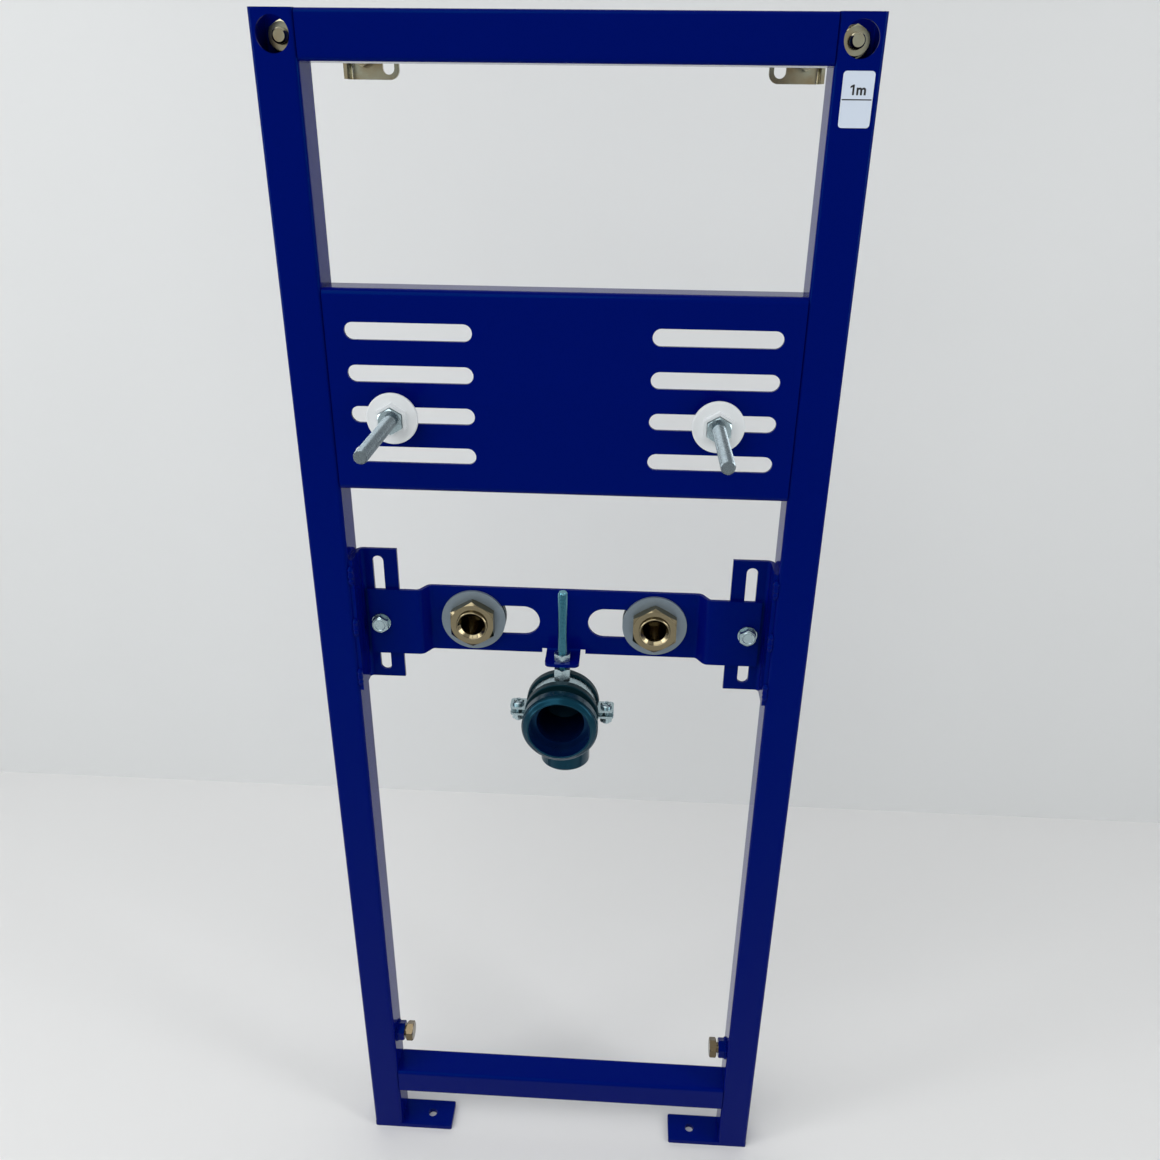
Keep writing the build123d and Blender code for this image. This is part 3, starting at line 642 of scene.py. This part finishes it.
class BASINFRAME_OT_cut_threads(bpy.types.Operator):
    """Cut the threads of the basin studs, the wall rods and the rod of the pipe clamp"""

    bl_idname = "basin_frame.cut_threads"
    bl_label = "Cut Threads"

    def execute(self, context):
        sizes = context.scene.basin_frame_sizes
        towards_viewer = Matrix.Rotation(pi / 2, 4, "X")
        bars = (
            ("left_basin_stud", "stud", "bright_zinc", "frame", sizes.stud_pitch),
            ("right_basin_stud", "stud", "bright_zinc", "frame", sizes.stud_pitch),
            ("left_wall_rod", "yellow_zinc", "yellow_zinc", "frame", sizes.stud_pitch),
            ("right_wall_rod", "yellow_zinc", "yellow_zinc", "frame", sizes.stud_pitch),
            ("drain_rod", "rod", "bright_zinc", "traverse", sizes.rod_pitch),
        )
        for node, plate, slot, body, pitch in bars:
            low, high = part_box(node)
            middle = (low + high) / 2
            diameter = high.x - low.x - 2 * sizes.thread_play
            if node == "drain_rod":
                reach = high.z - low.z
                place = Matrix.Translation((middle.x, middle.y, low.z))
            else:
                reach = high.y - low.y
                place = Matrix.Translation((middle.x, high.y, middle.z)) @ towards_viewer
            shape = threaded_bar(diameter, pitch, reach, sizes.thread_lead, sizes.thread_steps)
            move(shape, place)
            piece = keep_piece(f"{node}_thread", shape, finish(plate), body)
            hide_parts(node)
        return {"FINISHED"}


class BASINFRAME_OT_lay_welds(bpy.types.Operator):
    """Lay the weld beads of the fitting angles and of the clamp nuts"""

    bl_idname = "basin_frame.lay_welds"
    bl_label = "Lay Welds"

    def execute(self, context):
        sizes = context.scene.basin_frame_sizes
        for side, inward in (("left", 1), ("right", -1)):
            shape = self.angle_welds(sizes, side, inward)
            keep_piece(f"{side}_angle_welds", shape, finish("blue_paint"), "frame")
        keep_piece("clamp_nut_welds", self.nut_welds(sizes), finish("blue_paint"), "frame")
        return {"FINISHED"}

    def angle_welds(self, sizes, side, inward):
        """Three beads along the seam between a fitting angle and its upright."""
        radius, half = sizes.weld_radius, sizes.weld_length / 2
        low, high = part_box(f"{side}_fitting_angle")
        seam = low.x if inward > 0 else high.x
        shape = bmesh.new()
        for height in (high.z - 2 * half, (low.z + high.z) / 2, low.z + 2 * half):
            foot = Vector((seam + inward * BEAD_OFFSET * radius, low.y - BEAD_PROUD * radius, height - half))
            add_bead(shape, foot, foot + Vector((0, 0, 2 * half)), radius)
        return shape

    def nut_welds(self, sizes):
        """A ring of drops round the foot of each clamp nut."""
        radius = sizes.nut_weld_radius
        low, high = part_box("clamp_nuts")
        middle = (low + high) / 2
        ring = (high.z - low.z) / 2 - NUT_INSET * radius
        shape = bmesh.new()
        for seat, inward in ((low.x, 1), (high.x, -1)):
            for drop in range(NUT_DROPS):
                turn = tau * drop / NUT_DROPS
                across = seat + inward * NUT_OFFSET * radius
                spot = Vector((across, middle.y + ring * cos(turn), middle.z + ring * sin(turn)))
                add_drop(shape, spot, radius * (1 + NUT_SWELL * sin(NUT_WAVE * drop)))
        return shape


class BASINFRAME_OT_fit_clamp_screws(bpy.types.Operator):
    """Make the two cross-head screws of the pipe clamp"""

    bl_idname = "basin_frame.fit_clamp_screws"
    bl_label = "Fit Clamp Screws"

    def execute(self, context):
        sizes = context.scene.basin_frame_sizes
        low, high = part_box("pipe_clamp_screws")
        head = (high.y - low.y) / 2
        turned = Matrix.Rotation(SCREW_TURN, 4, "Z")
        both = bmesh.new()
        for x in (low.x + head, high.x - head):
            shape = cross_screw(sizes, head, high.z - low.z)
            move(shape, Matrix.Translation((x, (low.y + high.y) / 2, high.z)) @ turned)
            screw = bpy.data.meshes.new("clamp_screw")
            shape.to_mesh(screw)
            shape.free()
            both.from_mesh(screw)
            bpy.data.meshes.remove(screw)
        piece = keep_piece("pipe_clamp_screws_cross", both, finish("bright_zinc"), "traverse")
        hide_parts("pipe_clamp_screws")
        return {"FINISHED"}


class BASINFRAME_OT_fold_rubber_lips(bpy.types.Operator):
    """Fold the rubber lining over both edges of the pipe clamp"""

    bl_idname = "basin_frame.fold_rubber_lips"
    bl_label = "Fold Rubber Lips"

    def execute(self, context):
        sizes = context.scene.basin_frame_sizes
        low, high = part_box("pipe_clamp_upper")
        mouth = drain_axis()
        inner, outer = sizes.lip_radius, sizes.lip_radius + sizes.lip_rise
        soft = LIP_SOFTNESS * sizes.lip_rise
        shape = bmesh.new()
        for edge, inward in ((low.y, 1), (high.y, -1)):
            outline = (
                (inner, -inward * sizes.lip_overhang),
                (outer - soft, -inward * sizes.lip_overhang),
                (outer, inward * (soft - sizes.lip_overhang)),
                (outer, inward * (sizes.lip_width - 2 * soft)),
                (outer - soft, inward * (sizes.lip_width - 0.5 * soft)),
                (inner, inward * sizes.lip_width),
            )
            add_ring(shape, outline, Vector((mouth.x, edge, mouth.z)))
        close_rings(shape)
        keep_piece("pipe_clamp_lips", shape, finish("black_rubber"), "traverse")
        return {"FINISHED"}


class BASINFRAME_OT_raise_rims(bpy.types.Operator):
    """Raise the rims of the indented bolt heads and of the necks of the tap connectors"""

    bl_idname = "basin_frame.raise_rims"
    bl_label = "Raise Rims"

    def execute(self, context):
        sizes = context.scene.basin_frame_sizes
        low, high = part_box("bolt_washers")
        washer = (high.z - low.z) / 2
        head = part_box("traverse_bolts")[0].y
        heads = bmesh.new()
        for x in (low.x + washer, high.x - washer):
            centre = Vector((x, head, low.z + washer))
            add_rim(heads, sizes.head_rim_inner, sizes.head_rim_outer, sizes.rim_rise, centre)
        close_rings(heads)
        keep_piece("traverse_bolt_rims", heads, finish("bright_zinc"), "traverse")
        necks = bmesh.new()
        for side in ("left", "right"):
            low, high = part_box(f"{side}_tap_washer")
            centre = (low + high) / 2
            centre.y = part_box(f"{side}_tap_elbow")[0].y
            add_rim(necks, sizes.neck_rim_inner, sizes.neck_rim_outer, sizes.rim_rise, centre)
        close_rings(necks)
        keep_piece("tap_neck_rims", necks, finish("brass"), "traverse")
        return {"FINISHED"}


class BASINFRAME_OT_stick_height_mark(bpy.types.Operator):
    """Stick the height mark with its line and letters on the right upright"""

    bl_idname = "basin_frame.stick_height_mark"
    bl_label = "Stick Height Mark"

    def execute(self, context):
        sizes = context.scene.basin_frame_sizes
        face = Matrix.Translation(sizes.mark_place) @ Matrix.Rotation(pi / 2, 4, "X")
        film = self.cut_film(sizes)
        move(film, face)
        keep_piece("height_mark_film", film, finish("mark"), "frame")
        line = bmesh.new()
        bmesh.ops.create_cube(line, size=1.0)
        wide, deep = LINE_WIDTH * sizes.mark_width, LINE_DEPTH * sizes.mark_thickness
        move(line, Matrix.Diagonal((wide, sizes.mark_line, deep, 1)))
        move(line, face @ Matrix.Translation((0, 0, sizes.mark_thickness)))
        keep_piece("height_mark_line", line, finish("ink"), "frame")
        letters = self.print_letters(context, sizes)
        move(letters, face @ Matrix.Translation((0, sizes.mark_rise, sizes.mark_thickness)))
        keep_piece("height_mark_letters", letters, finish("ink"), "frame")
        return {"FINISHED"}

    def cut_film(self, sizes):
        """Film with round corners, lying flat."""
        film = bmesh.new()
        bmesh.ops.create_grid(film, x_segments=1, y_segments=1, size=0.5)
        move(film, Matrix.Diagonal((sizes.mark_width, sizes.mark_height, 1, 1)))
        bmesh.ops.bevel(
            film,
            geom=film.verts[:],
            affect="VERTICES",
            offset=sizes.mark_corner,
            offset_type="OFFSET",
            segments=CORNER_STEPS,
            profile=0.5,
            material=-1,
        )
        thicken(film, film.faces[:], sizes.mark_thickness)
        bmesh.ops.recalc_face_normals(film, faces=film.faces[:])
        return film

    def print_letters(self, context, sizes):
        """The figure with its flag and the letter of the unit, lying flat."""
        tall, deep = sizes.mark_letters, LETTER_DEPTH * sizes.mark_thickness
        letters = bmesh.new()
        corners = [letters.verts.new((x * tall - FIGURE_SHIFT * tall, y * tall, 0)) for x, y in FIGURE]
        thicken(letters, [letters.faces.new(corners)], deep)
        script = bpy.data.curves.new("height_mark_unit", "FONT")
        script.body = sizes.mark_unit
        script.size = UNIT_SIZE * tall
        script.offset = UNIT_WEIGHT * tall
        script.extrude = deep
        words = bpy.data.objects.new("height_mark_unit", script)
        words.location = (UNIT_LEFT * tall, UNIT_RISE * tall, 0)
        context.scene.collection.objects.link(words)
        context.view_layer.update()
        unit = bpy.data.meshes.new_from_object(words)
        unit.transform(words.matrix_world)
        letters.from_mesh(unit)
        bpy.data.objects.remove(words)
        bmesh.ops.remove_doubles(letters, verts=letters.verts[:], dist=FINE_MERGE)
        bmesh.ops.recalc_face_normals(letters, faces=letters.faces[:])
        return letters


class BASINFRAME_OT_set_stage(bpy.types.Operator):
    """Set the floor, the lamps, the light from all round and the camera"""

    bl_idname = "basin_frame.set_stage"
    bl_label = "Set Stage"

    def execute(self, context):
        scene = context.scene
        stage = scene.basin_frame_stage
        scene.view_settings.view_transform = "Standard"
        size, front = stage.floor_size, stage.floor_front
        spread = Matrix.Diagonal((size, size, 1, 1))
        lying = Matrix.Translation((MIDDLE, size - front, 0)) @ spread
        self.lay_sheet(scene, "floor", lying, stage.floor)
        standing = Matrix.Translation((MIDDLE, stage.wall_place, 0)) @ Matrix.Rotation(pi / 2, 4, "X")
        self.lay_sheet(scene, "wall", standing @ spread, stage.wall)
        self.light_world(scene, stage)
        for name, place, width, height, power in LAMPS:
            self.hang_lamp(scene, name, place, width, height, getattr(stage, power))
        self.place_camera(scene, stage)
        return {"FINISHED"}

    def lay_sheet(self, scene, name, place, tone):
        """Pale floor or wall that can be looked through from behind."""
        shape = bmesh.new()
        bmesh.ops.create_grid(shape, x_segments=1, y_segments=1, size=1.0)
        move(shape, place)
        mesh = bpy.data.meshes.new(name)
        shape.to_mesh(mesh)
        shape.free()
        material = surface(f"pale_{name}", tone, SHEET_ROUGHNESS)
        tree = material.node_tree
        sides = tree.nodes.new("ShaderNodeNewGeometry")
        clear = tree.nodes.new("ShaderNodeBsdfTransparent")
        mix = tree.nodes.new("ShaderNodeMixShader")
        tree.links.new(sides.outputs["Backfacing"], mix.inputs[0])
        tree.links.new(tree.nodes["Principled BSDF"].outputs[0], mix.inputs[1])
        tree.links.new(clear.outputs[0], mix.inputs[2])
        tree.links.new(mix.outputs[0], tree.nodes["Material Output"].inputs["Surface"])
        mesh.materials.append(material)
        sheet = bpy.data.objects.new(name, mesh)
        scene.collection.objects.link(sheet)

    def light_world(self, scene, stage):
        """Soft light from all round that is dimmer in front, and a pale background, mirrored too."""
        world = bpy.data.worlds.new("studio")
        world.use_nodes = True
        scene.world = world
        tree = world.node_tree
        light = tree.nodes["Background"]
        light.inputs["Color"].default_value = DAYLIGHT_TONE
        place = tree.nodes.new("ShaderNodeTexCoord")
        axes = tree.nodes.new("ShaderNodeSeparateXYZ")
        tree.links.new(place.outputs["Generated"], axes.inputs[0])
        brighter = tree.nodes.new("ShaderNodeMath")
        brighter.operation = "MAXIMUM"
        for slot, (axis, dim, bright) in enumerate(DAYLIGHT_EDGES):
            spread = tree.nodes.new("ShaderNodeMapRange")
            spread.inputs["From Min"].default_value = dim
            spread.inputs["From Max"].default_value = bright
            spread.inputs["To Min"].default_value = stage.room * stage.daylight
            spread.inputs["To Max"].default_value = stage.daylight
            tree.links.new(axes.outputs[axis], spread.inputs["Value"])
            tree.links.new(spread.outputs["Result"], brighter.inputs[slot])
        tree.links.new(brighter.outputs[0], light.inputs["Strength"])
        seen = tree.nodes.new("ShaderNodeBackground")
        seen.inputs["Color"].default_value = (*stage.backdrop, 1.0)
        ray = tree.nodes.new("ShaderNodeLightPath").outputs
        mirrored = join(tree, "MAXIMUM", ray["Is Glossy Ray"], ray["Is Transmission Ray"])
        mix = tree.nodes.new("ShaderNodeMixShader")
        tree.links.new(join(tree, "MAXIMUM", ray["Is Camera Ray"], mirrored), mix.inputs[0])
        tree.links.new(light.outputs[0], mix.inputs[1])
        tree.links.new(seen.outputs[0], mix.inputs[2])
        tree.links.new(mix.outputs[0], tree.nodes["World Output"].inputs["Surface"])

    def hang_lamp(self, scene, name, place, width, height, power):
        """Soft lamp that is turned to the middle of the frame."""
        lamp = bpy.data.lights.new(name, "AREA")
        lamp.shape = "RECTANGLE"
        lamp.size = width
        lamp.size_y = height
        lamp.energy = power
        holder = bpy.data.objects.new(name, lamp)
        holder.location = place
        holder.visible_camera = False
        holder.rotation_euler = (LAMP_AIM - Vector(place)).to_track_quat("-Z", "Y").to_euler()
        scene.collection.objects.link(holder)

    def place_camera(self, scene, stage):
        """Camera with the viewing angle of the photograph."""
        lens = bpy.data.cameras.new("camera")
        lens.sensor_width = SENSOR_WIDTH
        lens.lens = stage.camera_lens
        lens.clip_start = NEAREST_VIEW
        camera = bpy.data.objects.new("camera", lens)
        turn = Matrix.Rotation(stage.camera_yaw, 4, "Z")
        tilt = Matrix.Rotation(pi / 2 - stage.camera_pitch, 4, "X")
        roll = Matrix.Rotation(stage.camera_roll, 4, "Z")
        camera.matrix_world = Matrix.Translation(stage.camera_place) @ turn @ tilt @ roll
        scene.collection.objects.link(camera)
        scene.camera = camera


class BASINFRAME_PT_finish(bpy.types.Panel):
    """Steps and values of the finish"""

    bl_label = "Basin Frame"
    bl_idname = "BASINFRAME_PT_finish"
    bl_space_type = "VIEW_3D"
    bl_region_type = "UI"
    bl_category = "Basin Frame"

    def draw(self, context):
        for step in STEPS:
            self.layout.operator(step.bl_idname)
        for group in (
            context.scene.basin_frame_sizes,
            context.scene.basin_frame_finishes,
            context.scene.basin_frame_stage,
        ):
            box = self.layout.box()
            for value in group.__annotations__:
                box.prop(group, value)


STEPS = (
    BASINFRAME_OT_apply_finishes,
    BASINFRAME_OT_cut_threads,
    BASINFRAME_OT_lay_welds,
    BASINFRAME_OT_fit_clamp_screws,
    BASINFRAME_OT_fold_rubber_lips,
    BASINFRAME_OT_raise_rims,
    BASINFRAME_OT_stick_height_mark,
    BASINFRAME_OT_set_stage,
)
GROUPS = (BasinFrameSizes, BasinFrameFinishes, BasinFrameStage)


def register():
    """Register the values, the steps and the panel."""
    for kind in (*GROUPS, *STEPS, BASINFRAME_PT_finish):
        bpy.utils.register_class(kind)
    bpy.types.Scene.basin_frame_sizes = PointerProperty(type=BasinFrameSizes)
    bpy.types.Scene.basin_frame_finishes = PointerProperty(type=BasinFrameFinishes)
    bpy.types.Scene.basin_frame_stage = PointerProperty(type=BasinFrameStage)


def unregister():
    """Take away the values, the steps and the panel."""
    del bpy.types.Scene.basin_frame_stage
    del bpy.types.Scene.basin_frame_finishes
    del bpy.types.Scene.basin_frame_sizes
    for kind in reversed((*GROUPS, *STEPS, BASINFRAME_PT_finish)):
        bpy.utils.unregister_class(kind)


def main():
    """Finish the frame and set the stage."""
    register()
    bpy.ops.basin_frame.apply_finishes()
    bpy.ops.basin_frame.cut_threads()
    bpy.ops.basin_frame.lay_welds()
    bpy.ops.basin_frame.fit_clamp_screws()
    bpy.ops.basin_frame.fold_rubber_lips()
    bpy.ops.basin_frame.raise_rims()
    bpy.ops.basin_frame.stick_height_mark()
    bpy.ops.basin_frame.set_stage()


if __name__ == "__main__":
    main()
